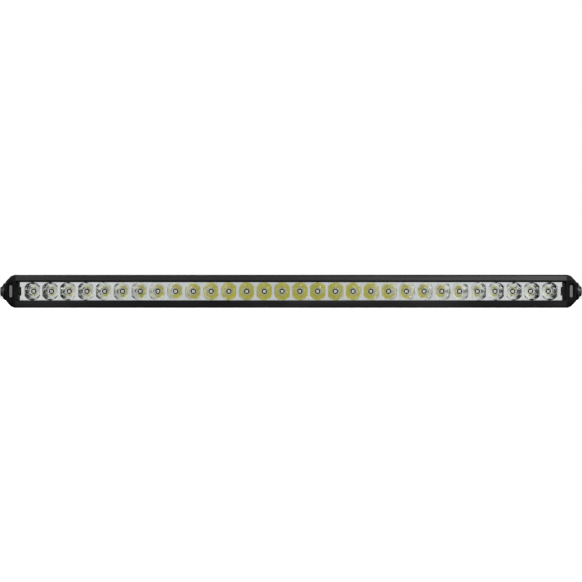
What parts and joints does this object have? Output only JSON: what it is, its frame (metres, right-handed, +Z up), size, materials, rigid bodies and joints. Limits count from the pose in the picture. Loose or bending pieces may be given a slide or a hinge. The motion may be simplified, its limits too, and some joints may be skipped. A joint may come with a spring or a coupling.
{
  "type": "led light bar",
  "caption": "Single-row LED light bar: finned aluminium housing, clear lens over chromed bowl reflectors, end caps with side bolts for brackets, rear cable gland and vent.",
  "frame": {"origin": "middle of the housing's flat underside", "axes": "+X along the bar, the lens faces -Y, +Z up"},
  "size_m": [0.8128, 0.0647, 0.0458],
  "materials": {
    "housing": "black powder coat, satin",
    "end_caps": "black powder coat over die casting, satin",
    "lens": "clear polycarbonate, polished",
    "reflectors": "vacuum metallised, mirror bright",
    "silicone": "matte silicone",
    "boards": "dark solder mask over aluminium core, satin",
    "driver_laminate": "green solder mask, satin",
    "thermal_pads": "soft matte pad",
    "led_ceramic": "matte white ceramic",
    "phosphor": "matte yellow phosphor",
    "led_silicone": "clear silicone, polished",
    "steel_screws": "zinc plated",
    "black_steel": "black oxide, satin",
    "zinc": "zinc plated, dull",
    "black_plastic": "moulded, matte",
    "components": "moulded, matte",
    "capacitors": "drawn can, satin",
    "terminal": "moulded, satin",
    "pins": "gold flash, bright",
    "gland_plastic": "nylon, satin",
    "gland_rubber": "matte",
    "vent_plastic": "nylon, satin",
    "membrane": "white film, matte"
  },
  "bodies": {
    "bar": {"board_link_left": "black_plastic", "board_link_right": "black_plastic", "board_screws": "steel_screws", "cap_gasket_left": "silicone", "cap_gasket_right": "silicone", "cap_screws_left": "black_steel", "cap_screws_right": "black_steel", "driver_board": "driver_laminate", "driver_capacitors": "capacitors", "driver_controllers": "components", "driver_inductors": "components", "driver_transistors": "components", "end_cap_left": "end_caps", "end_cap_right": "end_caps", "end_retainer_left": "black_plastic", "end_retainer_right": "black_plastic", "gland_body": "gland_plastic", "gland_locknut": "gland_plastic", "gland_nut": "gland_plastic", "gland_oring": "gland_rubber", "gland_seal": "gland_rubber", "header_pins": "pins", "housing": "housing", "input_terminal": "terminal", "led_bases": "led_ceramic", "led_board_left": "boards", "led_board_middle": "boards", "led_board_right": "boards", "led_domes": "led_silicone", "led_phosphors": "phosphor", "lens": "lens", "lens_gasket": "silicone", "nut_plate_left": "zinc", "nut_plate_right": "zinc", "power_header": "black_plastic", "reflector_left": "reflectors", "reflector_middle": "reflectors", "reflector_right": "reflectors", "thermal_pad_left": "thermal_pads", "thermal_pad_middle": "thermal_pads", "thermal_pad_right": "thermal_pads", "vent_body": "vent_plastic", "vent_gasket": "gland_rubber", "vent_membrane": "membrane"},
    "left_washer": {"side_washer_left": "black_steel"},
    "left_bolt": {"side_bolt_left": "black_steel"},
    "right_washer": {"side_washer_right": "black_steel"},
    "right_bolt": {"side_bolt_right": "black_steel"}
  },
  "joints": [
    {"name": "left_bolt_back_off", "type": "slide", "parent": "bar", "child": "left_washer", "axis": [-1, 0, 0], "range_m": [0, 0.0053]},
    {"name": "left_bolt_turn", "type": "hinge", "parent": "left_washer", "child": "left_bolt", "pos_m": [-0.402, 0.00828, 0.0229], "axis": [-1, 0, 0], "range_deg": [0, 1440]},
    {"name": "right_bolt_back_off", "type": "slide", "parent": "bar", "child": "right_washer", "axis": [1, 0, 0], "range_m": [0, 0.0053]},
    {"name": "right_bolt_turn", "type": "hinge", "parent": "right_washer", "child": "right_bolt", "pos_m": [0.402, 0.00828, 0.0229], "axis": [1, 0, 0], "range_deg": [0, 1440]}
  ],
  "couplings": [
    {"joint": "left_bolt_back_off", "follows": "left_bolt_turn", "m_per_rad": 0.00019894},
    {"joint": "right_bolt_back_off", "follows": "right_bolt_turn", "m_per_rad": 0.00019894}
  ]
}
